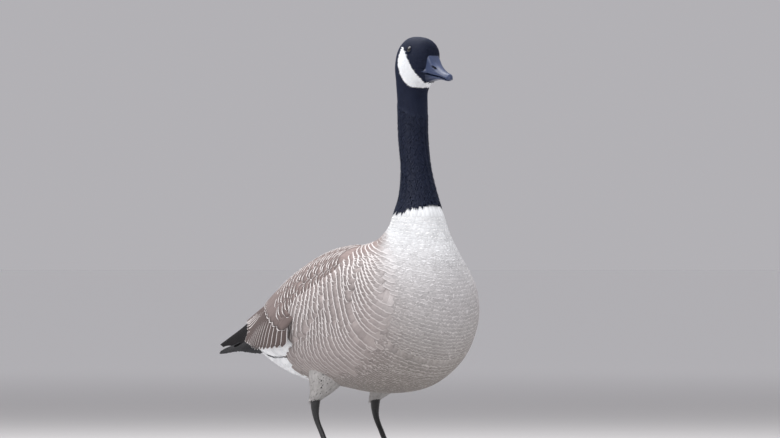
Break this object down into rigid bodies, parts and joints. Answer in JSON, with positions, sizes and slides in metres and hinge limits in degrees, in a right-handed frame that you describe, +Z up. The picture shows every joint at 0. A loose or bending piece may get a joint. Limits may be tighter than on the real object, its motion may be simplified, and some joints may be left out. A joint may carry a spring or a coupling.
{
  "type": "canada goose",
  "caption": "Goose standing still with its neck upright, webbed feet flat, long black neck and head with a pale cheek band, pale breast, barred brown body and wings.",
  "frame": {"origin": "on the floor under the middle of the bounding box", "axes": "+Z up, +X the way the bird faces, +Y its left"},
  "size_m": [0.5654, 0.2486, 0.6923],
  "materials": {
    "plumage_black": "black feathers with a faint blue cast",
    "plumage_white": "white feathers of the cheek band, vent and rump",
    "plumage_pale": "pale breast feathers with faint bars",
    "plumage_brown": "brown feathers with pale edges",
    "plumage_dark": "black-brown flight and tail feathers",
    "bill": "smooth black horn, satin",
    "leg": "scaly black skin",
    "claw": "black horn",
    "eye": "wet, dark brown"
  },
  "bodies": {
    "root": {"head": "plumage_black", "neck_upper": "plumage_black", "neck_lower": "plumage_black", "breast": "plumage_pale", "torso": "plumage_brown", "rump": "plumage_white", "wing_right": "plumage_brown", "wing_left": "plumage_brown", "tail": "plumage_dark", "thigh_right": "plumage_brown", "thigh_left": "plumage_brown", "bill_upper": "bill", "bill_lower": "bill", "eye_right": "eye", "eye_left": "eye", "shank_right": "leg", "shank_left": "leg", "foot_right": "leg", "foot_left": "leg", "claw_inner_right": "claw", "claw_middle_right": "claw", "claw_outer_right": "claw", "claw_inner_left": "claw", "claw_middle_left": "claw", "claw_outer_left": "claw"}
  },
  "joints": []
}
